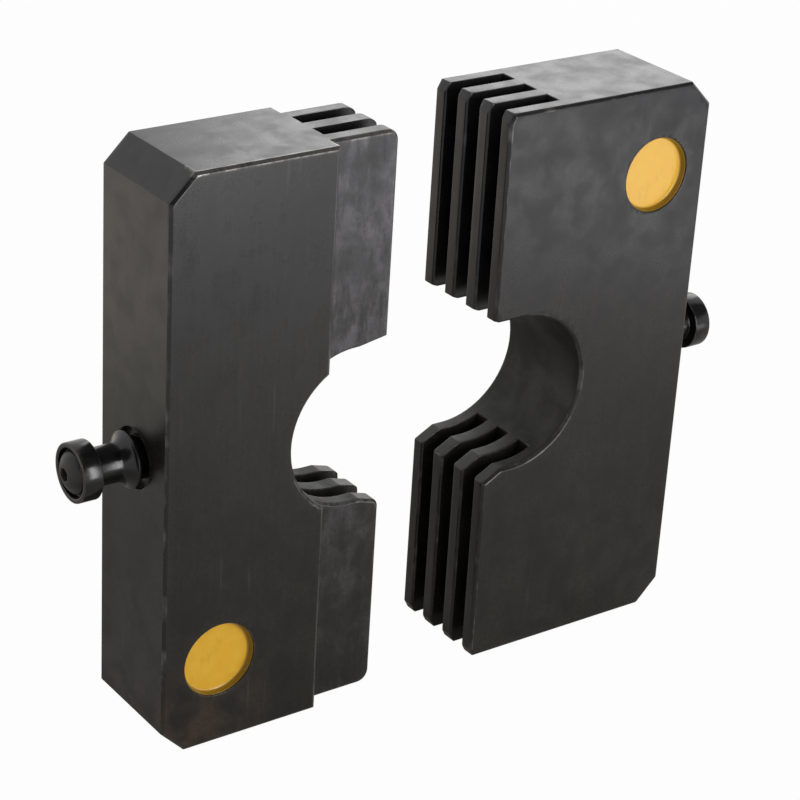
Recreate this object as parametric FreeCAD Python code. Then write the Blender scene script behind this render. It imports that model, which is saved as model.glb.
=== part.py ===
import FreeCAD, Part
import math
import os

# Crimp die: a matched pair of steel halves whose fingers slide between each other.
# Each half carries half of a round crimping bore, a shouldered stud screwed to its
# back face and a yellow size marker set in a shallow pocket.
# X is the closing direction, Y runs along the bore, Z is up. The origin lies on the
# floor, midway between the finger tips of the two drawn-apart halves.
# The inner half (three fingers) stands at -X, the outer half (four fingers) at +X.

# Die halves, in millimetres
die_height = 76.0
die_depth = 32.4            # back face to finger tips
finger_thickness = 2.1
finger_side_clearance = 0.15    # beside each finger when the halves are shut
outer_finger_count = 4
rest_gap = 14.8             # between the two rows of finger tips, drawn apart
back_chamfer = 3.3
edge_break = 0.35
slot_mouth_break = 0.25

# Crimping bore, shared by both halves
bore_radius = 10.5
bore_to_tips = 4.35         # bore axis to the finger tips of the same half
shut_tip_clearance = 0.2    # left in front of the inner fingers when shut

# Inner half
inner_slot_depth = 9.4
inner_step_depth = 9.8      # finger tips back to the step beside the outer fingers
inner_tip_round = 1.6
inner_upper_lead_length = 4.0
inner_upper_lead_rise = 0.7
inner_lower_lead_length = 3.2
inner_lower_lead_rise = 0.9
inner_lower_nose_round = 1.3

# Outer half
outer_tip_chamfer_length = 0.65
outer_tip_chamfer_rise = 1.2
outer_upper_lead_length = 0.8
outer_upper_lead_rise = 0.3
outer_lower_lead_length = 2.8
outer_lower_lead_rise = 1.5

# Yellow size marker, a dish of enamel seated in a round pocket
marker_pocket_radius = 5.0
marker_pocket_depth = 1.7
marker_thickness = 0.65
marker_side_clearance = 0.05
marker_wall = 0.15          # the coat that creeps up the wall of the pocket
marker_wall_sunk = 0.25     # from the face of the half down to the top of that coat
marker_fillet = 0.3
marker_from_back = 8.05
marker_from_end = 11.7

# Stud: head, neck, flared flange and a shank let into the back of the half
stud_reach = 8.4            # back face to the outer end of the head
stud_head_radius = 3.7
stud_head_length = 2.5
stud_head_bevel = 0.35
stud_neck_radius = 2.4
stud_flange_radius = 3.6
stud_flange_gap = 0.75      # back face to the inner side of the flange
stud_flange_rim = 0.35
stud_flare_length = 1.7
stud_shank_radius = 2.7
stud_shank_depth = 4.0
stud_shank_clearance = 0.05
stud_relief_radius = 3.9    # shallow counterbore around the shank
stud_relief_depth = 1.0

# Domed socket screw that clamps the stud
screw_head_radius = 2.65
screw_edge_height = 0.7     # straight side of the head, under the dome
screw_dome_rise = 1.05
screw_flat_radius = 1.05    # flat left on top of the dome
screw_edge_sunk = 0.25      # from the end face of the stud down to the foot of the dome
screw_socket_width = 1.5    # across the flats of the hexagon
screw_socket_depth = 1.2
screw_shank_radius = 1.5
screw_end_bevel = 0.25
screw_grip_depth = 5.0      # thread length past the end of the stud's shank
screw_side_clearance = 0.05
screw_end_clearance = 0.6   # drilled past the end of the screw
stud_socket_radius = 3.1    # counterbore in the stud that holds the screw head

# Sizes that follow from those above
inner_finger_count = outer_finger_count - 1
slot_width = finger_thickness + 2 * finger_side_clearance
finger_pitch = finger_thickness + slot_width
die_thickness = inner_finger_count * finger_pitch + finger_thickness
half_thickness = die_thickness / 2
outer_slot_depth = 2 * bore_to_tips + shut_tip_clearance
bore_height = die_height / 2
bore_depth = die_depth - bore_to_tips
back_distance = rest_gap / 2 + die_depth
inner_side = -1
outer_side = 1
cut_margin = 1.0            # how far a cutting tool runs past the surface it opens
same_place = 1e-6           # two places this near each other are one


def at(side, depth):
    """X of a point at this depth from the back face of one half."""
    return side * (back_distance - depth)


def point(side, depth, height, across=0.0):
    return FreeCAD.Vector(at(side, depth), across, height)


def block(side, depth_from, depth_to, y_from, y_to, z_from, z_to):
    """Box between two depths, two Y values and two heights."""
    x_low = min(at(side, depth_from), at(side, depth_to))
    corner = FreeCAD.Vector(x_low, y_from, z_from)
    return Part.makeBox(abs(depth_to - depth_from), y_to - y_from, z_to - z_from, corner)


def outline(side, front, upper_lead, lower_lead, tip_chamfer):
    """Closed side view of one half: leads, bore, back chamfers and the front corners.

    front is the depth of the front face, each lead is (length, rise) where the bore
    runs out at the finger tips, and tip_chamfer is (length, rise) at top and bottom.
    """
    bore_top = bore_height + bore_radius
    bore_bottom = bore_height - bore_radius
    tip_length, tip_rise = tip_chamfer
    edges = []

    def line(start, end):
        if start.distanceToPoint(end) > same_place:
            edges.append(Part.LineSegment(start, end).toShape())

    upper_bore = point(side, bore_depth, bore_top)
    lower_bore = point(side, bore_depth, bore_bottom)
    deepest = point(side, bore_depth - bore_radius, bore_height)
    edges.append(Part.Arc(upper_bore, deepest, lower_bore).toShape())
    corners = [
        lower_bore,
        point(side, front - lower_lead[0], bore_bottom),
        point(side, front, bore_bottom - lower_lead[1]),
        point(side, front, tip_rise),
        point(side, front - tip_length, 0.0),
        point(side, back_chamfer, 0.0),
        point(side, 0.0, back_chamfer),
        point(side, 0.0, die_height - back_chamfer),
        point(side, back_chamfer, die_height),
        point(side, front - tip_length, die_height),
        point(side, front, die_height - tip_rise),
        point(side, front, bore_top + upper_lead[1]),
        point(side, front - upper_lead[0], bore_top),
        upper_bore,
    ]
    for start, end in zip(corners, corners[1:]):
        line(start, end)
    return Part.Wire(Part.__sortEdges__(edges))


def slab(wire, thickness):
    """The outline given a thickness, centred on the middle plane of the die."""
    face = Part.Face(wire)
    face.translate(FreeCAD.Vector(0, -thickness / 2, 0))
    return face.extrude(FreeCAD.Vector(0, thickness, 0))


def across_edge(solid, x, z):
    """The edge that runs along Y through the given place in the side view."""
    for edge in solid.Edges:
        ends = [vertex.Point for vertex in edge.Vertexes]
        if all(abs(end.x - x) < same_place and abs(end.z - z) < same_place for end in ends):
            return edge
    raise ValueError("no edge across the half at %.2f, %.2f" % (x, z))


def break_rims(solid, size):
    """Small chamfer along every edge of the two large faces of a slab."""
    rims = []
    for edge in solid.Edges:
        ends = [vertex.Point for vertex in edge.Vertexes]
        if all(abs(end.y - ends[0].y) < same_place for end in ends):
            rims.append(edge)
    return solid.makeChamfer(size, rims)


def cut_slots(half, side, slot_starts, width, depth):
    """Saw slots through the full height from the finger tips, mouths slightly opened."""
    for start in slot_starts:
        slot = block(side, die_depth - depth, die_depth + cut_margin,
                     start, start + width, -cut_margin, die_height + cut_margin)
        floor_z = -cut_margin
        mouth = [
            point(side, die_depth - slot_mouth_break, floor_z, start),
            point(side, die_depth + cut_margin, floor_z, start - slot_mouth_break - cut_margin),
            point(side, die_depth + cut_margin, floor_z, start + width + slot_mouth_break + cut_margin),
            point(side, die_depth - slot_mouth_break, floor_z, start + width),
        ]
        mouth.append(mouth[0])
        opening = Part.Face(Part.makePolygon(mouth))
        flare = opening.extrude(FreeCAD.Vector(0, 0, die_height + 2 * cut_margin))
        half = half.cut(slot.fuse(flare))
    return half


def outer_slot_starts():
    """Low Y of each slot in the outer half."""
    return [-half_thickness + finger_thickness + index * finger_pitch
            for index in range(inner_finger_count)]


def inner_finger_starts():
    """Low Y of each inner finger, centred in the outer half's slots."""
    return [start + finger_side_clearance for start in outer_slot_starts()]


def drill(side, radius, depth_from, depth_to):
    """Round tool along X on the stud's axis, between two depths from the back face."""
    start = point(side, depth_from, bore_height)
    direction = FreeCAD.Vector(-side, 0, 0)
    return Part.makeCylinder(radius, depth_to - depth_from, start, direction)


def machine_back(half, side):
    """Relief, shank seat and screw hole in the back face."""
    seat_radius = stud_shank_radius + stud_shank_clearance
    hole_radius = screw_shank_radius + screw_side_clearance
    hole_end = stud_shank_depth + screw_grip_depth + screw_end_clearance
    half = half.cut(drill(side, stud_relief_radius, -cut_margin, stud_relief_depth))
    half = half.cut(drill(side, seat_radius, -cut_margin, stud_shank_depth))
    return half.cut(drill(side, hole_radius, 0.0, hole_end))


def marker_height(side):
    """The inner half is marked near its foot, the outer half near its top."""
    return marker_from_end if side == inner_side else die_height - marker_from_end


def marker_plug(side, radius, y_from, y_to):
    start = point(side, marker_from_back, marker_height(side), y_from)
    return Part.makeCylinder(radius, y_to - y_from, start, FreeCAD.Vector(0, 1, 0))


def machine_marker_pocket(half, side):
    floor_y = -half_thickness + marker_pocket_depth
    return half.cut(marker_plug(side, marker_pocket_radius, -half_thickness - cut_margin, floor_y))


def make_outer_die():
    wire = outline(outer_side, die_depth,
                   (outer_upper_lead_length, outer_upper_lead_rise),
                   (outer_lower_lead_length, outer_lower_lead_rise),
                   (outer_tip_chamfer_length, outer_tip_chamfer_rise))
    half = break_rims(slab(wire, die_thickness), edge_break)
    half = cut_slots(half, outer_side, outer_slot_starts(), slot_width, outer_slot_depth)
    half = machine_back(half, outer_side)
    return machine_marker_pocket(half, outer_side)


def make_inner_die():
    """Full-thickness body with a thinner comb of three fingers standing out of it."""
    comb_thickness = die_thickness - 2 * (finger_thickness + finger_side_clearance)
    wire = outline(inner_side, die_depth,
                   (inner_upper_lead_length, inner_upper_lead_rise),
                   (inner_lower_lead_length, inner_lower_lead_rise),
                   (0.0, 0.0))
    tip_x = at(inner_side, die_depth)
    comb = slab(wire, comb_thickness)
    end_corners = [across_edge(comb, tip_x, 0.0), across_edge(comb, tip_x, die_height)]
    comb = comb.makeFillet(inner_tip_round, end_corners)
    nose_z = bore_height - bore_radius - inner_lower_lead_rise
    comb = comb.makeFillet(inner_lower_nose_round, [across_edge(comb, tip_x, nose_z)])
    comb = break_rims(comb, edge_break)

    body = slab(wire, die_thickness)
    step = die_depth - inner_step_depth
    in_front = block(inner_side, step, die_depth + cut_margin,
                     -die_thickness, die_thickness, -cut_margin, die_height + cut_margin)
    body = break_rims(body.cut(in_front), edge_break)

    half = body.fuse(comb).removeSplitter()
    fingers = inner_finger_starts()
    slot_starts = [start + finger_thickness for start in fingers[:-1]]
    half = cut_slots(half, inner_side, slot_starts, finger_pitch - finger_thickness, inner_slot_depth)
    half = machine_back(half, inner_side)
    return machine_marker_pocket(half, inner_side)


def turned(side, profile):
    """Revolve a profile about the stud's axis.

    Each profile point is (distance out from the back face, radius). An entry of three
    points is an arc through the middle one.
    """
    edges = []
    for entry in profile:
        places = [point(side, -out, bore_height + radius) for out, radius in entry]
        if len(places) == 3:
            edges.append(Part.Arc(*places).toShape())
        else:
            edges.append(Part.LineSegment(*places).toShape())
    face = Part.Face(Part.Wire(Part.__sortEdges__(edges)))
    return face.revolve(point(side, 0.0, bore_height), FreeCAD.Vector(1, 0, 0), 360)


def chain(points):
    """Straight profile entries joining the points in order."""
    return [(start, end) for start, end in zip(points, points[1:])]


def make_stud(side):
    screw_hole = screw_shank_radius + screw_side_clearance
    socket_floor = stud_reach - screw_edge_sunk - screw_edge_height
    head_back = stud_reach - stud_head_length
    rim_out = stud_flange_gap + stud_flange_rim
    flare_end = rim_out + stud_flare_length
    # The flare is a hollow arc that leaves the neck without a corner and ends at the rim
    flare_height = stud_flange_radius - stud_neck_radius
    flare_radius = (stud_flare_length ** 2 + flare_height ** 2) / (2 * flare_height)
    half_turn = math.asin(stud_flare_length / flare_radius) / 2
    middle = (flare_end - flare_radius * math.sin(half_turn),
              stud_neck_radius + flare_radius * (1 - math.cos(half_turn)))
    inside = chain([
        (-stud_shank_depth, stud_shank_radius),
        (-stud_shank_depth, screw_hole),
        (socket_floor, screw_hole),
        (socket_floor, stud_socket_radius),
        (stud_reach, stud_socket_radius),
        (stud_reach, stud_head_radius - stud_head_bevel),
        (stud_reach - stud_head_bevel, stud_head_radius),
        (head_back + stud_head_bevel, stud_head_radius),
        (head_back, stud_head_radius - stud_head_bevel),
        (head_back, stud_neck_radius),
        (flare_end, stud_neck_radius),
    ])
    flare = [((flare_end, stud_neck_radius), middle, (rim_out, stud_flange_radius))]
    flange = chain([
        (rim_out, stud_flange_radius),
        (stud_flange_gap, stud_flange_radius),
        (stud_flange_gap, stud_shank_radius),
        (-stud_shank_depth, stud_shank_radius),
    ])
    return turned(side, inside + flare + flange)


def hexagon_socket(side, width, out_from, out_to):
    """Six-sided pocket along the stud's axis."""
    corner_radius = width / 3 ** 0.5
    axis = FreeCAD.Vector(1, 0, 0)
    centre = point(side, -out_from, bore_height)
    first = point(side, -out_from, bore_height + corner_radius)
    turn = FreeCAD.Rotation(axis, 60)
    corners = [first]
    for _ in range(6):
        corners.append(centre + turn.multVec(corners[-1] - centre))
    corners[-1] = first
    face = Part.Face(Part.makePolygon(corners))
    return face.extrude(FreeCAD.Vector(side * (out_to - out_from), 0, 0))


def make_screw(side):
    """Screw with a domed head: a ball's cap, cut flat on top for the socket."""
    dome_foot = stud_reach - screw_edge_sunk
    dome_top = dome_foot + screw_dome_rise
    head_floor = dome_foot - screw_edge_height
    end = -stud_shank_depth - screw_grip_depth
    # The ball's centre lies on the axis, as far from the edge of the head as from the flat
    ball_centre = (dome_top ** 2 + screw_flat_radius ** 2 - dome_foot ** 2 - screw_head_radius ** 2)
    ball_centre /= 2 * screw_dome_rise
    ball_radius = math.hypot(dome_foot - ball_centre, screw_head_radius)
    middle_radius = (screw_head_radius + screw_flat_radius) / 2
    middle = (ball_centre + math.sqrt(ball_radius ** 2 - middle_radius ** 2), middle_radius)
    below = chain([
        (end, 0.0),
        (end, screw_shank_radius - screw_end_bevel),
        (end + screw_end_bevel, screw_shank_radius),
        (head_floor, screw_shank_radius),
        (head_floor, screw_head_radius),
        (dome_foot, screw_head_radius),
    ])
    dome = [((dome_foot, screw_head_radius), middle, (dome_top, screw_flat_radius))]
    top = chain([(dome_top, screw_flat_radius), (dome_top, 0.0), (end, 0.0)])
    socket = hexagon_socket(side, screw_socket_width, dome_top - screw_socket_depth,
                            dome_top + cut_margin)
    return turned(side, below + dome + top).cut(socket)


def make_marker(side):
    """Shallow dish: a disc on the pocket's floor with a thin coat up the pocket's wall."""
    floor_y = -half_thickness + marker_pocket_depth
    radius = marker_pocket_radius - marker_side_clearance
    disc_y = floor_y - marker_thickness
    dish = marker_plug(side, radius, -half_thickness + marker_wall_sunk, floor_y)
    dish = dish.cut(marker_plug(side, radius - marker_wall, -half_thickness - cut_margin, disc_y))
    foot = [edge for edge in dish.Edges
            if all(abs(place.y - disc_y) < same_place for place in edge.discretize(3))]
    return dish.makeFillet(marker_fillet, foot)


def main():
    os.makedirs("parts", exist_ok=True)
    pieces = {
        "inner_die": make_inner_die(),
        "outer_die": make_outer_die(),
    }
    for side, name in ((inner_side, "inner"), (outer_side, "outer")):
        pieces[name + "_stud"] = make_stud(side)
        pieces[name + "_stud_screw"] = make_screw(side)
        pieces[name + "_marker"] = make_marker(side)
    for name, shape in pieces.items():
        solid = shape.Solids[0] if len(shape.Solids) == 1 else shape
        solid.exportStep("parts/" + name + ".step")
        box = solid.BoundBox
        print(name, "solids", len(shape.Solids), "valid", solid.isValid(),
              "volume %.1f" % solid.Volume,
              "x %.2f..%.2f y %.2f..%.2f z %.2f..%.2f" % (
                  box.XMin, box.XMax, box.YMin, box.YMax, box.ZMin, box.ZMax))


main()
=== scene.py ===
# %% [markdown]
# # A crimp die, drawn apart
# A crimp die is a pair of hardened steel blocks that a press drives together. Each block is sawn into
# thin fingers, and the fingers of one slide between the fingers of the other, so that the round
# opening between them shrinks evenly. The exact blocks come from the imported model. This lesson gives
# them softened edges, a blackened finish with wear, turned studs and yellow enamel, and lights them.

# %% Load the measured model
import bpy
import bmesh
import math
from mathutils import Euler, Matrix, Vector, kdtree


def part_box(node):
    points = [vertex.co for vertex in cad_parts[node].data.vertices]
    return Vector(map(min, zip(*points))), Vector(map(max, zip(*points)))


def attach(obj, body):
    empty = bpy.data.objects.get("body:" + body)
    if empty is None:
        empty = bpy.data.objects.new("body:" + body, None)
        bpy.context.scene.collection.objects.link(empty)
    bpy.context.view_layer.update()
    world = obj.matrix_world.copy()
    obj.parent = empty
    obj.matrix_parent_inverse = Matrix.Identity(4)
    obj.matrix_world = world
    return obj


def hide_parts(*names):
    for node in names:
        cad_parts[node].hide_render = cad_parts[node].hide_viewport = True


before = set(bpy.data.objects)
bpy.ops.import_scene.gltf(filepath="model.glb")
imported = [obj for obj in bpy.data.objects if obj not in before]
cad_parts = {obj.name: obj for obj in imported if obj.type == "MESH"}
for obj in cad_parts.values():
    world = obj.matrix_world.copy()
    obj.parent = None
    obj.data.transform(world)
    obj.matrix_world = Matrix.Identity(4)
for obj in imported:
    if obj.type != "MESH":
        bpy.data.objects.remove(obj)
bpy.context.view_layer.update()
MM = 0.001

# %% [markdown]
# ## The camera
# A product picture like this one is taken with a long lens, so that upright edges stay nearly
# parallel. The camera could be aimed with a constraint, but three angles say it exactly: how far
# round it stands, how high, and how much it is rolled about its own line of sight.

# %% Set up the camera
CAMERA_PLACE = Vector((-0.17108, -0.22948, 0.17241))
CAMERA_AROUND = math.radians(-36.5571)
CAMERA_HEIGHT = math.radians(25.4055)
CAMERA_ROLL = math.radians(-3.4959)
LENS_MM = 111.78
SENSOR_MM = 36.0


def make_camera():
    backwards = Vector((math.sin(CAMERA_AROUND) * math.cos(CAMERA_HEIGHT),
                        -math.cos(CAMERA_AROUND) * math.cos(CAMERA_HEIGHT),
                        math.sin(CAMERA_HEIGHT)))
    right = (-backwards).cross(Vector((0, 0, 1))).normalized()
    up = backwards.cross(right)
    rolled_right = math.cos(CAMERA_ROLL) * right - math.sin(CAMERA_ROLL) * up
    rolled_up = math.sin(CAMERA_ROLL) * right + math.cos(CAMERA_ROLL) * up
    turn = Matrix((rolled_right, rolled_up, backwards)).transposed()
    lens = bpy.data.cameras.new("camera")
    lens.lens = LENS_MM
    lens.sensor_width = SENSOR_MM
    lens.clip_start = 0.01
    camera = bpy.data.objects.new("camera", lens)
    bpy.context.scene.collection.objects.link(camera)
    camera.matrix_world = Matrix.Translation(CAMERA_PLACE) @ turn.to_4x4()
    bpy.context.scene.camera = camera
    return camera


camera = make_camera()
print("the camera stands", round(CAMERA_PLACE.length / MM), "mm from the die's origin")

# %% [markdown]
# ## The finishes
# Materials are built from nodes, so that they hold at any distance and need no picture. A few small
# helpers keep each finish readable: one adds a node, one sets its values, and the others make the
# patterns that every finish here is mixed from. All patterns read the piece's own coordinates in
# metres, so a scale of 1000 gives blotches about a millimetre wide.

# %% Helpers for building finishes
def new_finish(name):
    """An empty material with one shader; returns the material, its tree and the shader."""
    finish = bpy.data.materials.new(name)
    finish.use_nodes = True
    tree = finish.node_tree
    return finish, tree, tree.nodes["Principled BSDF"]


def connect(tree, source, target):
    """A plain value where the source is a number or a colour, and otherwise a link."""
    if isinstance(source, (int, float, tuple)):
        target.default_value = source
    else:
        tree.links.new(source, target)


def calculate(tree, operation, first, second=0.0):
    node = tree.nodes.new("ShaderNodeMath")
    node.operation = operation
    connect(tree, first, node.inputs[0])
    connect(tree, second, node.inputs[1])
    return node.outputs[0]


def times(tree, first, second):
    return calculate(tree, "MULTIPLY", first, second)


def ramp(tree, value, start, end, low=0.0, high=1.0):
    """Smooth change from low to high while the value goes from start to end."""
    node = tree.nodes.new("ShaderNodeMapRange")
    node.interpolation_type = "SMOOTHSTEP"
    connect(tree, value, node.inputs["Value"])
    node.inputs["From Min"].default_value = start
    node.inputs["From Max"].default_value = end
    node.inputs["To Min"].default_value = low
    node.inputs["To Max"].default_value = high
    return node.outputs["Result"]


def own_place(tree, stretch=(1.0, 1.0, 1.0), turn=(0.0, 0.0, 0.0)):
    """The piece's own coordinates, stretched or turned to suit a pattern."""
    where = tree.nodes.new("ShaderNodeTexCoord")
    mapping = tree.nodes.new("ShaderNodeMapping")
    mapping.inputs["Rotation"].default_value = turn
    mapping.inputs["Scale"].default_value = stretch
    tree.links.new(where.outputs["Object"], mapping.inputs["Vector"])
    return mapping.outputs["Vector"]


def split_place(tree):
    """The piece's own coordinates as three numbers, X, Y and Z."""
    parts = tree.nodes.new("ShaderNodeSeparateXYZ")
    tree.links.new(own_place(tree), parts.inputs[0])
    return parts.outputs


def blotches(tree, place, size_mm, detail=4.0, roughness=0.55, distortion=0.0):
    """Cloudy pattern between 0 and 1, with blotches of about this size."""
    noise = tree.nodes.new("ShaderNodeTexNoise")
    noise.inputs["Scale"].default_value = 1.0 / (size_mm * MM)
    noise.inputs["Detail"].default_value = detail
    noise.inputs["Roughness"].default_value = roughness
    noise.inputs["Distortion"].default_value = distortion
    tree.links.new(place, noise.inputs["Vector"])
    return noise.outputs["Fac"]


def blend_colours(tree, amount, first, second):
    """Goes from the first colour to the second while the amount goes from 0 to 1."""
    node = tree.nodes.new("ShaderNodeMix")
    node.data_type = "RGBA"
    connect(tree, amount, node.inputs[0])
    connect(tree, first, node.inputs[6])
    connect(tree, second, node.inputs[7])
    return node.outputs[2]


def carried(tree, name):
    """A number that the mesh itself carries for every point."""
    node = tree.nodes.new("ShaderNodeAttribute")
    node.attribute_name = name
    return node.outputs["Fac"]


def add_relief(tree, shader, height, depth_mm, strength=1.0):
    """Fine relief from a height between 0 and 1."""
    bump = tree.nodes.new("ShaderNodeBump")
    bump.inputs["Strength"].default_value = strength
    bump.inputs["Distance"].default_value = depth_mm * MM
    tree.links.new(height, bump.inputs["Height"])
    tree.links.new(bump.outputs["Normal"], shader.inputs["Normal"])


# %% [markdown]
# ### Blackened steel: its colour
# The blocks are ground flat and then blackened in a hot salt bath. That leaves a thin dark skin,
# mottled all over, with a trace of rust at one lower corner. A painted tint by height makes the skin
# bluer high up and browner low down, in place of the cool and warm light it mirrors. The fingers of
# one half rub on the other, so the outer faces of the inner comb are paler, and a painted highlight
# makes them paler still near their top. Each of these is one pattern, and they are laid over each other.

# %% Mix the colour of the blackened skin
SKIN_DARK = (0.0065, 0.0062, 0.0054, 1.0)
SKIN_LIGHT = (0.0150, 0.0144, 0.0130, 1.0)
# Painted tint: a cool colour for the upper skin and a warm colour for the lower skin, as the light they
# mirror.
SKIN_PAINTED_COOL_HIGH = (0.0150, 0.0142, 0.0160, 1.0)
SKIN_BROWN_PAINTED_WARM_LOW = (0.0170, 0.0148, 0.0105, 1.0)
SKIN_RUST = (0.0420, 0.0240, 0.0160, 1.0)
# Pale rubbed steel, also used as a painted highlight high on the comb.
SKIN_RUBBED_AND_LIT = (0.0640, 0.0610, 0.0650, 1.0)
BARE_STEEL = (0.20, 0.19, 0.18, 1.0)


def steel_patterns(tree):
    """The patterns that the colour, the wear and the gloss of the blackened steel share."""
    place = own_place(tree)
    upright = own_place(tree, stretch=(1.0, 1.0, 0.06))
    slanted = own_place(tree, stretch=(1.0, 1.0, 0.05), turn=(0.0, math.radians(38.0), 0.0))
    smeared = own_place(tree, stretch=(1.0, 1.0, 0.30))
    return {"clouds": blotches(tree, place, 14.0, detail=5.0, roughness=0.6),
            "patches": blotches(tree, place, 4.0, detail=3.0, roughness=0.50, distortion=0.3),
            "grain": blotches(tree, place, 0.45, detail=3.0, roughness=0.7),
            "strokes": blotches(tree, upright, 0.45, detail=3.0, roughness=0.6),
            "scratches": ramp(tree, blotches(tree, slanted, 0.8, detail=2.0, roughness=0.5), 0.66, 0.74),
            "scuffs": blotches(tree, smeared, 1.7, detail=6.0, roughness=0.7, distortion=0.3)}


def skin_colour(tree, where, seen):
    skin = blend_colours(tree, ramp(tree, seen["clouds"], 0.35, 0.68), SKIN_DARK, SKIN_LIGHT)
    # Painted tint by height: bluer high up and browner low down, standing in for the cool and warm light
    # mirrored there.
    tint = blend_colours(tree, ramp(tree, where["Z"], 20 * MM, 70 * MM), SKIN_BROWN_PAINTED_WARM_LOW, SKIN_PAINTED_COOL_HIGH)
    skin = blend_colours(tree, 0.45, skin, tint)
    grime = times(tree, ramp(tree, seen["patches"], 0.40, 0.62), 0.35)
    skin = blend_colours(tree, grime, skin, SKIN_DARK)
    corner = times(tree, ramp(tree, where["Z"], 14 * MM, 2 * MM), ramp(tree, where["X"], -22 * MM, -34 * MM))
    rust = times(tree, ramp(tree, seen["patches"], 0.36, 0.60), corner)
    skin = blend_colours(tree, times(tree, rust, 0.45), skin, SKIN_RUST)
    rubbed = times(tree, carried(tree, "rubbed"), ramp(tree, seen["scuffs"], 0.34, 0.62, 0.20, 1.25))
    # Paler towards the top: a painted highlight laid over the rubbing of the comb faces.
    rubbed = times(tree, rubbed, ramp(tree, where["Z"], 0.0, 70 * MM, 0.20, 1.0))
    return blend_colours(tree, times(tree, rubbed, 0.85), skin, SKIN_RUBBED_AND_LIT)


def mottling(tree, seen, ragged_gap):
    """How much lighter or darker each spot of the skin is, a little lighter towards the edges."""
    level = times(tree, ramp(tree, seen["grain"], 0.3, 0.8, 0.82, 1.25),
                  ramp(tree, seen["strokes"], 0.3, 0.7, 0.95, 1.06))
    level = times(tree, level, ramp(tree, seen["patches"], 0.34, 0.66, 0.60, 1.60))
    return calculate(tree, "ADD", level, times(tree, ramp(tree, ragged_gap, 1.2, 0.1), 0.20))


print("the skin goes from", SKIN_DARK[:3], "to", SKIN_LIGHT[:3])

# %% [markdown]
# ### Blackened steel: its wear and gloss
# On every outer edge the skin is worn through to bright steel, raggedly, and most of all along the
# top and the step of the inner half, where it is handled. The wear reads a number that the mesh carries, the
# distance to the nearest outer edge. A distance holds at any zoom and is the same in every renderer,
# where a trick with the view angle would not be. The wall of the bore was cut and not ground, so it
# is duller, and that is found from the distance to the axis of the bore.

# %% Make the blackened steel
BORE_AXIS_X = 11.75 * MM
BORE_AXIS_Z = 38.0 * MM
BORE_RADIUS = 10.5 * MM
STEP_X = -17.2 * MM


def near_bore(tree, where):
    """1 on the wall of the bore and 0 elsewhere."""
    beside = calculate(tree, "SUBTRACT", calculate(tree, "ABSOLUTE", where["X"]), BORE_AXIS_X)
    above = calculate(tree, "SUBTRACT", where["Z"], BORE_AXIS_Z)
    squares = calculate(tree, "ADD", times(tree, beside, beside), times(tree, above, above))
    return ramp(tree, calculate(tree, "SQRT", squares), BORE_RADIUS + 0.25 * MM, BORE_RADIUS + 0.05 * MM)


def handled_rim(tree, where, seen, edge_gap):
    """The worn front edges of the inner half: along its top, and down the step beside its comb."""
    top = times(tree, ramp(tree, where["X"], -4.0 * MM, -6.0 * MM),
                ramp(tree, where["Z"], 75.3 * MM, 75.6 * MM))
    step = times(tree, ramp(tree, where["X"], STEP_X - 0.6 * MM, STEP_X - 0.3 * MM),
                 ramp(tree, where["X"], STEP_X + 0.4 * MM, STEP_X + 0.1 * MM))
    step = times(tree, times(tree, step, ramp(tree, where["Y"], -7.0 * MM, -7.4 * MM)), 0.6)
    rim = times(tree, calculate(tree, "MAXIMUM", top, step), ramp(tree, where["Y"], -5.0 * MM, -5.4 * MM))
    rim = times(tree, rim, ramp(tree, edge_gap, 0.45, 0.10))
    return times(tree, rim, ramp(tree, seen["scuffs"], 0.36, 0.56, 0.15, 0.85))


def bare_steel_share(tree, where, seen, edge_gap, ragged_gap):
    """Where the skin is gone: along the edges, on the handled rim and in a few long scratches."""
    worn = times(tree, ramp(tree, ragged_gap, 0.10, -0.04),
                 ramp(tree, seen["clouds"], 0.35, 0.65, 0.20, 0.75))
    worn = calculate(tree, "MAXIMUM", worn, handled_rim(tree, where, seen, edge_gap))
    scratched = times(tree, seen["scratches"], ramp(tree, seen["clouds"], 0.45, 0.65, 0.0, 0.12))
    return calculate(tree, "MAXIMUM", worn, scratched)


def make_blackened_steel():
    finish, tree, shader = new_finish("blackened_steel_skin")
    where, seen = split_place(tree), steel_patterns(tree)
    edge_gap = carried(tree, "edge_gap")
    unevenness = times(tree, calculate(tree, "SUBTRACT", seen["patches"], 0.5), 0.6)
    ragged_gap = calculate(tree, "ADD", edge_gap, unevenness)
    bare = bare_steel_share(tree, where, seen, edge_gap, ragged_gap)

    mottled = tree.nodes.new("ShaderNodeHueSaturation")
    connect(tree, skin_colour(tree, where, seen), mottled.inputs["Color"])
    connect(tree, mottling(tree, seen, ragged_gap), mottled.inputs["Value"])
    colour = blend_colours(tree, bare, mottled.outputs["Color"], BARE_STEEL)
    connect(tree, colour, shader.inputs["Base Color"])
    connect(tree, times(tree, bare, 0.85), shader.inputs["Metallic"])

    matt = calculate(tree, "ADD", ramp(tree, seen["patches"], 0.28, 0.72, 0.375, 0.235),
                     ramp(tree, seen["strokes"], 0.3, 0.7, -0.015, 0.015))
    matt = calculate(tree, "ADD", matt, times(tree, near_bore(tree, where), 0.28))
    matt = calculate(tree, "SUBTRACT", matt, times(tree, bare, 0.06))
    connect(tree, matt, shader.inputs["Roughness"])
    shader.inputs["Specular IOR Level"].default_value = 0.40
    relief = calculate(tree, "ADD", seen["grain"], times(tree, seen["strokes"], 0.6))
    add_relief(tree, shader, relief, 0.012, 0.35)
    return finish


blackened_steel = make_blackened_steel()
print("made the finish", blackened_steel.name, "from", len(blackened_steel.node_tree.nodes), "nodes")

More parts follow.
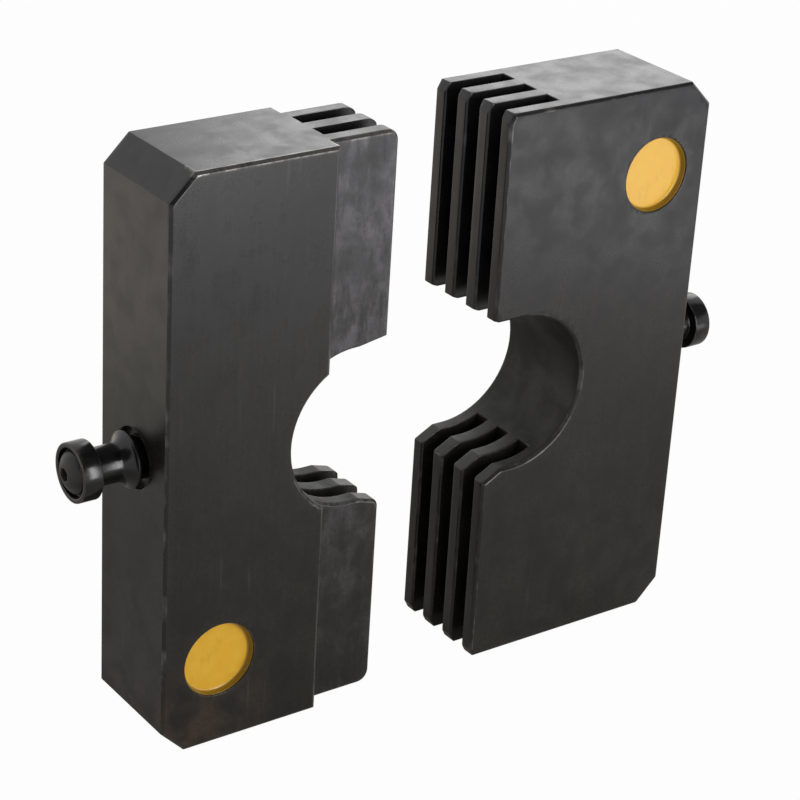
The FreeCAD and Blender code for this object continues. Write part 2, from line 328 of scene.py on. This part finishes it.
# %% [markdown]
# ### Stud steel
# The studs are turned on a lathe and blackened too, but a turned surface is smoother than a ground
# one, so it shows tight highlights. Fine rings round the axis are what the cutting tool leaves. They
# could be cut into the mesh, but at this size a very shallow relief in the finish looks the same.
# The screws get the same recipe with other numbers, greyer and duller.

# %% Make the stud steel
TURNED_DARK = (0.0035, 0.0032, 0.0030, 1.0)
TURNED_LIGHT = (0.0075, 0.0070, 0.0070, 1.0)
SCREW_DARK = (0.0150, 0.0145, 0.0145, 1.0)
SCREW_GREY = (0.0380, 0.0360, 0.0350, 1.0)


def make_turned_steel(name, dark, light, dullest, glossiest, mirror_level):
    finish, tree, shader = new_finish(name)
    place = own_place(tree)
    patches = blotches(tree, place, 1.8, detail=4.0, roughness=0.6)
    grain = blotches(tree, place, 0.12, detail=2.0)
    rings = blotches(tree, own_place(tree, stretch=(1.0, 0.02, 0.02)), 0.12, detail=2.0)
    skin = blend_colours(tree, ramp(tree, patches, 0.35, 0.65), dark, light)
    unevenness = times(tree, calculate(tree, "SUBTRACT", patches, 0.5), 0.3)
    ragged_gap = calculate(tree, "ADD", carried(tree, "edge_gap"), unevenness)
    worn = ramp(tree, ragged_gap, 0.08, -0.06, 0.0, 0.5)
    connect(tree, blend_colours(tree, worn, skin, BARE_STEEL), shader.inputs["Base Color"])
    connect(tree, times(tree, worn, 0.8), shader.inputs["Metallic"])
    connect(tree, ramp(tree, patches, 0.3, 0.7, glossiest, dullest), shader.inputs["Roughness"])
    shader.inputs["Specular IOR Level"].default_value = mirror_level
    add_relief(tree, shader, calculate(tree, "ADD", times(tree, grain, 0.5), rings), 0.008, 0.3)
    return finish


stud_steel = make_turned_steel("turned_stud_steel", TURNED_DARK, TURNED_LIGHT, 0.24, 0.17, 0.42)
screw_steel = make_turned_steel("screw_steel_skin", SCREW_DARK, SCREW_GREY, 0.48, 0.34, 0.35)
print("made the finishes", stud_steel.name, "and", screw_steel.name)

# %% [markdown]
# ### Yellow enamel
# The size marker is a spot of yellow enamel in a shallow pocket. It dries slightly uneven: the middle
# is a little lighter, and the rim, where it creeps thin up the wall, is darker, partly from the steel
# under the thin coat and partly from painted shade in the pocket. The mesh carries how far each point
# lies from the middle, so the finish can darken the rim without any picture.

# %% Make the yellow enamel
ENAMEL_MIDDLE = (0.790, 0.430, 0.018, 1.0)
ENAMEL_CLOUDY = (0.810, 0.460, 0.030, 1.0)
# Dark rim colour: thin enamel over steel with painted shade of the pocket wall; also used for darker smears.
ENAMEL_RIM = (0.200, 0.120, 0.006, 1.0)


def make_enamel():
    finish, tree, shader = new_finish("yellow_enamel")
    place = own_place(tree)
    clouds = blotches(tree, place, 3.0, detail=4.0, roughness=0.6, distortion=0.6)
    smears = blotches(tree, own_place(tree, stretch=(1.0, 1.0, 0.25)), 0.8, detail=3.0)
    colour = blend_colours(tree, ramp(tree, clouds, 0.40, 0.65), ENAMEL_MIDDLE, ENAMEL_CLOUDY)
    colour = blend_colours(tree, ramp(tree, smears, 0.55, 0.75, 0.0, 0.18), colour, ENAMEL_RIM)
    # Darker rim: thin enamel over steel, with painted shade of the pocket wall.
    thin_and_shaded_rim = ramp(tree, carried(tree, "from_middle"), 0.90, 0.985)
    connect(tree, blend_colours(tree, thin_and_shaded_rim, colour, ENAMEL_RIM), shader.inputs["Base Color"])
    connect(tree, ramp(tree, clouds, 0.3, 0.7, 0.28, 0.36), shader.inputs["Roughness"])
    shader.inputs["Specular IOR Level"].default_value = 0.7
    add_relief(tree, shader, clouds, 0.05, 0.4)
    return finish


enamel = make_enamel()
print("made the finish", enamel.name)

# %% [markdown]
# ## Getting a mesh ready for wear
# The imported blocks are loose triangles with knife-sharp edges. A real edge is always a little
# rounded, and that is what catches the light. So each block is copied, its triangles are joined, and
# its outer edges are bevelled by a tenth of a millimetre. Then its flat faces are ruled into small
# cells, so that there are points to carry the distance to the nearest outer edge.

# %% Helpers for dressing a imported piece
WELD = 0.001 * MM
FLAT_ANGLE = math.radians(0.2)
SHARP_ANGLE = math.radians(28.0)
EDGE_SAMPLE = 0.25 * MM
FURTHEST_GAP_MM = 4.0
COMB_RIM_MM = 0.35


def whole_faces(node_name):
    """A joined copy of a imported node, as an open mesh editor."""
    shell = bmesh.new()
    shell.from_mesh(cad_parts[node_name].data)
    bmesh.ops.remove_doubles(shell, verts=shell.verts, dist=WELD)
    bmesh.ops.dissolve_limit(shell, angle_limit=FLAT_ANGLE, verts=shell.verts, edges=shell.edges,
                             delimit={"NORMAL"})
    return shell


def outer_edges(shell, sharpest=SHARP_ANGLE):
    return [edge for edge in shell.edges
            if edge.is_manifold and edge.calc_face_angle_signed(0.0) > sharpest]


def soften(shell, width, rounds):
    bmesh.ops.bevel(shell, geom=outer_edges(shell), offset=width, offset_type="OFFSET",
                    segments=rounds, profile=0.5, affect="EDGES", clamp_overlap=True)


def rule_off(shell, spacing):
    """Cuts every face along evenly spaced planes across X, Y and Z."""
    for axis in range(3):
        places = [point.co[axis] for point in shell.verts]
        cuts = max(1, round((max(places) - min(places)) / spacing))
        step = (max(places) - min(places)) / cuts
        across = Vector((0, 0, 0))
        across[axis] = 1.0
        for number in range(1, cuts):
            geometry = shell.verts[:] + shell.edges[:] + shell.faces[:]
            spot = across * (min(places) + number * step)
            bmesh.ops.bisect_plane(shell, geom=geometry, dist=WELD / 10, plane_co=spot, plane_no=across)


def edge_samples(shell):
    """Points along every outer edge, close together."""
    samples = []
    for edge in outer_edges(shell):
        start, end = (point.co for point in edge.verts)
        pieces = max(1, math.ceil((end - start).length / EDGE_SAMPLE))
        samples += [start.lerp(end, number / pieces) for number in range(pieces + 1)]
    return samples


def sharp_samples(mesh):
    shell = bmesh.new()
    shell.from_mesh(mesh)
    samples = edge_samples(shell)
    shell.free()
    return samples


def carry_edge_gap(mesh, samples):
    """Stores on each point how far, in mm, it lies from the nearest outer edge."""
    tree = kdtree.KDTree(len(samples))
    for number, place in enumerate(samples):
        tree.insert(place, number)
    tree.balance()
    gaps = [min(FURTHEST_GAP_MM, tree.find(point.co)[2] / MM) for point in mesh.vertices]
    mesh.attributes.new("edge_gap", "FLOAT", "POINT").data.foreach_set("value", gaps)


def carry_rubbed(mesh, comb_face_mm):
    """Marks the broad outer faces of a comb, which rub on the fingers of the other half."""
    rubbed = [0.0] * len(mesh.vertices)
    for face in mesh.polygons:
        beside = abs(abs(face.center.y) / MM - comb_face_mm + COMB_RIM_MM / 2) < COMB_RIM_MM
        if beside and abs(face.normal.y) > 0.3:
            for number in face.vertices:
                rubbed[number] = 1.0
    mesh.attributes.new("rubbed", "FLOAT", "POINT").data.foreach_set("value", rubbed)


def smooth_between_sharp_edges(mesh, angle=math.radians(35.0)):
    mesh.shade_smooth()
    shell = bmesh.new()
    shell.from_mesh(mesh)
    for edge in shell.edges:
        edge.smooth = edge.is_manifold and edge.calc_face_angle(0.0) < angle
    shell.to_mesh(mesh)
    shell.free()


def place_piece(name, mesh, finish):
    mesh.materials.clear()
    mesh.materials.append(finish)
    piece = bpy.data.objects.new(name, mesh)
    bpy.context.scene.collection.objects.link(piece)
    return piece


def dressed(node_name, name, finish, round_mm, cell_mm, comb_face_mm):
    """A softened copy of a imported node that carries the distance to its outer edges."""
    shell = whole_faces(node_name)
    samples = edge_samples(shell)
    soften(shell, round_mm * MM, 2)
    rule_off(shell, cell_mm * MM)
    bmesh.ops.recalc_face_normals(shell, faces=shell.faces)
    mesh = bpy.data.meshes.new(name)
    shell.to_mesh(mesh)
    shell.free()
    carry_edge_gap(mesh, samples)
    carry_rubbed(mesh, comb_face_mm)
    smooth_between_sharp_edges(mesh)
    piece = place_piece(name, mesh, finish)
    evened = piece.modifiers.new("even the shading", "WEIGHTED_NORMAL")
    evened.keep_sharp = True
    print(name, "has", len(mesh.polygons), "faces")
    return piece


# %% [markdown]
# ## The two halves
# The inner half has three fingers on a thinner comb, and the outer half has four with slots between
# them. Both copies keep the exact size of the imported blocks, because a bevel only takes material off.
# Only the inner comb has outer faces that rub, so the outer half gets a face distance that no face
# has, and nothing on it is marked.

# %% Dress the two halves
EDGE_ROUND_MM = 0.10
CELL_MM = 1.0
NO_COMB_MM = -1.0
COMB_FACE_MM = {"inner": 5.55, "outer": NO_COMB_MM}
BODY_OF_SIDE = {"inner": "inner_half", "outer": "outer_half"}

for side, body in BODY_OF_SIDE.items():
    half = dressed(side + "_die", side + "_die_block", blackened_steel, EDGE_ROUND_MM, CELL_MM,
                   COMB_FACE_MM[side])
    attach(half, body)
    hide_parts(side + "_die")

# %% [markdown]
# ## The studs
# A stud is turned from bar: a head, a thinner neck, and a flange with a hollow flare. Any turned part
# is one drawn profile carried round an axis, so Geometry Nodes do exactly that. The profile is a
# chain of points, a fillet rounds its corners, and a circle carries it round. The same tree also
# makes the enamel spots, with another profile, axis and finish.

# %% Build the lathe
LATHE_CIRCLE = 1.0 * MM


def name_lathe_inputs(tree):
    face = tree.interface
    face.new_socket("Profile", in_out="INPUT", socket_type="NodeSocketGeometry")
    points_round = face.new_socket("Points round", in_out="INPUT", socket_type="NodeSocketInt")
    points_round.default_value = 96
    corner_round = face.new_socket("Corner round", in_out="INPUT", socket_type="NodeSocketFloat")
    corner_round.default_value = 0.1 * MM
    face.new_socket("Turn", in_out="INPUT", socket_type="NodeSocketRotation")
    face.new_socket("Shift", in_out="INPUT", socket_type="NodeSocketVector")
    face.new_socket("Finish", in_out="INPUT", socket_type="NodeSocketMaterial")
    face.new_socket("Turned part", in_out="OUTPUT", socket_type="NodeSocketGeometry")


def make_lathe():
    """Rounds the corners of a profile, carries it round a circle, then turns and moves it."""
    tree = bpy.data.node_groups.new("lathe", "GeometryNodeTree")
    name_lathe_inputs(tree)
    nodes = tree.nodes
    given = nodes.new("NodeGroupInput")
    result = nodes.new("NodeGroupOutput")
    to_curve = nodes.new("GeometryNodeMeshToCurve")
    fillet = nodes.new("GeometryNodeFilletCurve")
    fillet.mode = "POLY"
    fillet.inputs["Count"].default_value = 3
    fillet.inputs["Limit Radius"].default_value = True
    circle = nodes.new("GeometryNodeCurvePrimitiveCircle")
    circle.inputs["Radius"].default_value = LATHE_CIRCLE
    sweep = nodes.new("GeometryNodeCurveToMesh")
    weld = nodes.new("GeometryNodeMergeByDistance")
    weld.inputs["Distance"].default_value = WELD
    move = nodes.new("GeometryNodeTransform")
    realize = nodes.new("GeometryNodeRealizeInstances")
    paint = nodes.new("GeometryNodeSetMaterial")
    link = tree.links.new
    link(given.outputs["Profile"], to_curve.inputs["Mesh"])
    link(to_curve.outputs["Curve"], fillet.inputs["Curve"])
    link(given.outputs["Corner round"], fillet.inputs["Radius"])
    link(given.outputs["Points round"], circle.inputs["Resolution"])
    link(circle.outputs["Curve"], sweep.inputs["Curve"])
    link(fillet.outputs["Curve"], sweep.inputs["Profile Curve"])
    link(sweep.outputs["Mesh"], weld.inputs["Geometry"])
    link(weld.outputs["Geometry"], move.inputs["Geometry"])
    link(given.outputs["Turn"], move.inputs["Rotation"])
    link(given.outputs["Shift"], move.inputs["Translation"])
    link(move.outputs["Geometry"], realize.inputs["Geometry"])
    link(realize.outputs["Geometry"], paint.inputs["Geometry"])
    link(given.outputs["Finish"], paint.inputs["Material"])
    link(paint.outputs["Geometry"], result.inputs[0])
    return tree


lathe = make_lathe()
print("the lathe takes", [item.name for item in lathe.interface.items_tree if item.in_out == "INPUT"])


def input_name(tree, label):
    """The identifier that a modifier uses for a named input."""
    return next(item.identifier for item in tree.interface.items_tree
                if item.name == label and item.in_out == "INPUT")


def turn_part(name, profile, finish, corner_mm, turn, shift, points_round=96):
    """Carries a profile of (radius, height) pairs in mm round the Z axis, then turns and moves it."""
    drawing = bpy.data.meshes.new(name + "_profile")
    points = [(radius * MM - LATHE_CIRCLE, -height * MM, 0.0) for radius, height in profile]
    drawing.from_pydata(points, [(number, number + 1) for number in range(len(points) - 1)], [])
    part = bpy.data.objects.new(name, drawing)
    bpy.context.scene.collection.objects.link(part)
    modifier = part.modifiers.new("lathe", "NODES")
    modifier.node_group = lathe
    modifier[input_name(lathe, "Points round")] = points_round
    modifier[input_name(lathe, "Corner round")] = corner_mm * MM
    modifier[input_name(lathe, "Turn")] = turn
    modifier[input_name(lathe, "Shift")] = shift
    modifier[input_name(lathe, "Finish")] = finish
    seen = part.evaluated_get(bpy.context.evaluated_depsgraph_get())
    mesh = bpy.data.meshes.new_from_object(seen)
    part.modifiers.clear()
    part.data = mesh
    bpy.data.meshes.remove(drawing)
    shell = bmesh.new()
    shell.from_mesh(mesh)
    bmesh.ops.remove_doubles(shell, verts=shell.verts, dist=WELD)
    bmesh.ops.recalc_face_normals(shell, faces=shell.faces)
    shell.to_mesh(mesh)
    shell.free()
    smooth_between_sharp_edges(mesh)
    return part


# %% Turn the two studs
BACK_MM = 39.8
AXIS_HEIGHT_MM = 38.0
STUD_REACH = 8.4
HEAD_RADIUS = 3.7
HEAD_BACK = 5.9
NECK_RADIUS = 2.4
FLANGE_RADIUS = 3.6
FLANGE_GAP = 0.75
FLANGE_RIM = 0.35
FLARE_LENGTH = 1.7
SHANK_RADIUS = 2.7
SHANK_DEPTH = 4.0
SCREW_HOLE = 1.55
HOLLOW_RADIUS = 3.1
HOLLOW_FLOOR = 7.45
FLARE_STEPS = 10
STUD_CORNER_MM = 0.16


def stud_profile():
    """(radius, distance out from the back face) all the way round the section of a stud."""
    rise = FLANGE_RADIUS - NECK_RADIUS
    flare_radius = (FLARE_LENGTH ** 2 + rise ** 2) / (2 * rise)
    rim_out = FLANGE_GAP + FLANGE_RIM
    whole = math.asin(FLARE_LENGTH / flare_radius)
    flare = []
    for step in range(FLARE_STEPS + 1):
        angle = whole * step / FLARE_STEPS
        flare.append((NECK_RADIUS + flare_radius * (1 - math.cos(angle)),
                      rim_out + FLARE_LENGTH - flare_radius * math.sin(angle)))
    return [(SCREW_HOLE, -SHANK_DEPTH), (SCREW_HOLE, HOLLOW_FLOOR), (HOLLOW_RADIUS, HOLLOW_FLOOR),
            (HOLLOW_RADIUS, STUD_REACH), (HEAD_RADIUS, STUD_REACH), (HEAD_RADIUS, HEAD_BACK),
            (NECK_RADIUS, HEAD_BACK)] + flare + [
            (FLANGE_RADIUS, FLANGE_GAP), (SHANK_RADIUS, FLANGE_GAP), (SHANK_RADIUS, -SHANK_DEPTH),
            (SCREW_HOLE, -SHANK_DEPTH)]


for side, sign in (("inner", -1), ("outer", 1)):
    stud = turn_part(side + "_stud_turned", stud_profile(), stud_steel, STUD_CORNER_MM,
                     Euler((0.0, sign * math.pi / 2, 0.0)),
                     Vector((sign * BACK_MM * MM, 0.0, AXIS_HEIGHT_MM * MM)))
    carry_edge_gap(stud.data, sharp_samples(stud.data))
    print(stud.name, "has", len(stud.data.polygons), "faces")
    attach(stud, BODY_OF_SIDE[side])
    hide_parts(side + "_stud")

# %% [markdown]
# ## The screws
# A small socket screw clamps each stud. Its domed head fills the hollow end of the stud and stands a
# little proud of the rim, with a small six-sided socket in its flat top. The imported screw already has
# that shape, so it is dressed in the same way as the halves, with finer rounding.

# %% Dress the two screws
SCREW_ROUND_MM = 0.06
SCREW_CELL_MM = 0.8

for side, body in BODY_OF_SIDE.items():
    screw = dressed(side + "_stud_screw", side + "_screw_turned", screw_steel, SCREW_ROUND_MM,
                    SCREW_CELL_MM, NO_COMB_MM)
    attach(screw, body)
    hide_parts(side + "_stud_screw")

# %% [markdown]
# ## The size markers
# The enamel is poured into its pocket and creeps up the wall, so the spot is a shallow dish and not
# a flat disc. It is turned with the lathe as well, from half a section: a flat middle, a soft fillet
# and a thin coat on the wall.

# %% Pour the two enamel spots
SPOT_RADIUS = 4.98
SPOT_MIDDLE = 0.65
SPOT_RIM = 1.50
WALL_COAT = 0.16
CREEP_ROUND = 0.30
CREEP_STEPS = 5
POCKET_FLOOR_Y_MM = -6.10
SPOT_CORNER_MM = 0.05


def spot_profile():
    """(radius, height above the pocket's floor) of the enamel, from its middle and back."""
    wall = SPOT_RADIUS - WALL_COAT
    creep = []
    for step in range(CREEP_STEPS + 1):
        turn = math.pi / 2 * step / CREEP_STEPS
        creep.append((wall - CREEP_ROUND + CREEP_ROUND * math.sin(turn),
                      SPOT_MIDDLE + CREEP_ROUND - CREEP_ROUND * math.cos(turn)))
    return ([(0.0, SPOT_MIDDLE), (wall * 0.55, SPOT_MIDDLE)] + creep
            + [(wall + 0.05, SPOT_RIM), (SPOT_RADIUS, SPOT_RIM), (SPOT_RADIUS, 0.0), (0.0, 0.0)])


def carry_from_middle(mesh, middle):
    """Stores each point's distance from the middle of the spot, as a share of the radius."""
    shares = [math.hypot(point.co.x - middle.x, point.co.z - middle.z) / (SPOT_RADIUS * MM)
              for point in mesh.vertices]
    mesh.attributes.new("from_middle", "FLOAT", "POINT").data.foreach_set("value", shares)


for side, body in BODY_OF_SIDE.items():
    low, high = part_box(side + "_marker")
    middle = (low + high) / 2
    middle.y = POCKET_FLOOR_Y_MM * MM
    spot = turn_part(side + "_enamel_spot", spot_profile(), enamel, SPOT_CORNER_MM,
                     Euler((math.pi / 2, 0.0, 0.0)), middle)
    carry_from_middle(spot.data, middle)
    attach(spot, body)
    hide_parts(side + "_marker")
    print(spot.name, "has", len(spot.data.polygons), "faces")

# %% [markdown]
# ## Floor and room
# To the camera the floor and the room are white, as in a product picture, and the floor still keeps
# the shadow. Dark steel is seen mostly by what it mirrors, so the mirrored floor decides how the
# blocks look. It is white far out and dark close by, where the blocks shade it, warm behind the die
# and cool in front. High up in front the mirrored room is dark, like the unlit side of a studio.
# Light Path tells the rays apart, so none of this changes how brightly the object itself is lit.

# %% Set up the floor and the room
FLOOR_HALF = 3.0
FLOOR_WHITE_SEEN = 0.975
FLOOR_NEAR_MIRRORED = 0.12
FLOOR_FAR_MIRRORED = 1.0
FLOOR_DARK_REACH = 78 * MM
FLOOR_BRIGHT_REACH = 178 * MM
FLOOR_TINT_FRONT = (0.84, 0.81, 0.88, 1.0)
FLOOR_TINT_BEHIND = (1.00, 0.94, 0.84, 1.0)
FLOOR_TINT_NEAR = (1.00, 0.93, 0.78, 1.0)
ROOM_LEVEL = 0.42
FRONT_WALL_TOP = 0.25
FRONT_DARK = 0.10
WHITE = (1.0, 1.0, 1.0, 1.0)


def white_share(tree, seen, mirrored):
    """How white a ray finds things: one share for the camera, one for reflections, else none."""
    rays = tree.nodes.new("ShaderNodeLightPath").outputs
    bounced = calculate(tree, "MAXIMUM", rays["Is Glossy Ray"], rays["Is Transmission Ray"])
    return calculate(tree, "MAXIMUM", times(tree, rays["Is Camera Ray"], seen),
                     times(tree, bounced, mirrored))


def make_paper():
    """White paper that takes a shadow, and that shows reflections its own brightness and tint."""
    finish, tree, shader = new_finish("white_paper")
    shader.inputs["Base Color"].default_value = (0.55, 0.55, 0.55, 1.0)
    shader.inputs["Roughness"].default_value = 0.9
    shader.inputs["Specular IOR Level"].default_value = 0.0
    away = tree.nodes.new("ShaderNodeVectorMath")
    away.operation = "LENGTH"
    connect(tree, own_place(tree), away.inputs[0])
    far = away.outputs["Value"]
    mirrored = ramp(tree, far, FLOOR_DARK_REACH, FLOOR_BRIGHT_REACH, FLOOR_NEAR_MIRRORED, FLOOR_FAR_MIRRORED)
    in_front = ramp(tree, split_place(tree)["Y"], -10 * MM, -50 * MM)
    tint = blend_colours(tree, in_front, FLOOR_TINT_BEHIND, FLOOR_TINT_FRONT)
    tint = blend_colours(tree, ramp(tree, far, FLOOR_DARK_REACH, FLOOR_BRIGHT_REACH), FLOOR_TINT_NEAR, tint)
    rays = tree.nodes.new("ShaderNodeLightPath").outputs
    glow = tree.nodes.new("ShaderNodeEmission")
    connect(tree, blend_colours(tree, rays["Is Camera Ray"], tint, WHITE), glow.inputs["Color"])
    mix = tree.nodes.new("ShaderNodeMixShader")
    connect(tree, white_share(tree, FLOOR_WHITE_SEEN, mirrored), mix.inputs[0])
    connect(tree, shader.outputs[0], mix.inputs[1])
    connect(tree, glow.outputs[0], mix.inputs[2])
    connect(tree, mix.outputs[0], tree.nodes["Material Output"].inputs["Surface"])
    return finish


def make_floor():
    mesh = bpy.data.meshes.new("floor")
    corners = [(-FLOOR_HALF, -FLOOR_HALF, 0), (FLOOR_HALF, -FLOOR_HALF, 0),
               (FLOOR_HALF, FLOOR_HALF, 0), (-FLOOR_HALF, FLOOR_HALF, 0)]
    mesh.from_pydata(corners, [], [(0, 1, 2, 3)])
    floor = place_piece("floor", mesh, make_paper())


def make_room():
    world = bpy.data.worlds.new("white room")
    bpy.context.scene.world = world
    world.use_nodes = True
    tree = world.node_tree
    background = tree.nodes["Background"]
    background.inputs["Color"].default_value = WHITE
    direction = tree.nodes.new("ShaderNodeSeparateXYZ")
    connect(tree, tree.nodes.new("ShaderNodeTexCoord").outputs["Generated"], direction.inputs[0])
    high = ramp(tree, direction.outputs["Z"], FRONT_WALL_TOP, FRONT_WALL_TOP + 0.2)
    in_front = ramp(tree, direction.outputs["Y"], 0.1, -0.1)
    mirrored = ramp(tree, times(tree, high, in_front), 0.0, 1.0, 1.0, FRONT_DARK)
    scattered = times(tree, tree.nodes.new("ShaderNodeLightPath").outputs["Is Diffuse Ray"], ROOM_LEVEL)
    connect(tree, calculate(tree, "MAXIMUM", white_share(tree, 1.0, mirrored), scattered),
            background.inputs["Strength"])


make_floor()
make_room()
print("the floor is", 2 * FLOOR_HALF, "m wide")

# %% [markdown]
# ## The lamps
# A large soft lamp behind lights the tops. A tall strip in front lights the broad faces, and the
# turned studs mirror it as the upright highlight that tells the eye they are round. A small card low
# on the right lifts the upper part of the outer half, as a white card does on a studio table.

# %% Place the lamps
MIDDLE = (0, 0, 38)


def make_lamp(name, place_mm, aim_mm, wide_mm, tall_mm, power):
    """An oblong soft lamp at one point, aimed at another."""
    place, aim = Vector(place_mm) * MM, Vector(aim_mm) * MM
    light = bpy.data.lights.new(name, "AREA")
    light.shape = "RECTANGLE"
    light.size = wide_mm * MM
    light.size_y = tall_mm * MM
    light.energy = power
    lamp = bpy.data.objects.new(name, light)
    bpy.context.scene.collection.objects.link(lamp)
    lamp.matrix_world = Matrix.Translation(place) @ (place - aim).to_track_quat("Z", "Y").to_matrix().to_4x4()
    lamp.visible_camera = False
    print("placed the", name)


make_lamp("back softbox", (280, 285, 262), MIDDLE, 240, 240, 0.34)
make_lamp("front strip", (49, -197, 78), (-20, 0, 42), 46, 150, 0.23)
make_lamp("front floor card", (108, -124, 3), (25, 0, 74), 76, 60, 0.030)
bpy.context.scene.view_settings.view_transform = "Standard"
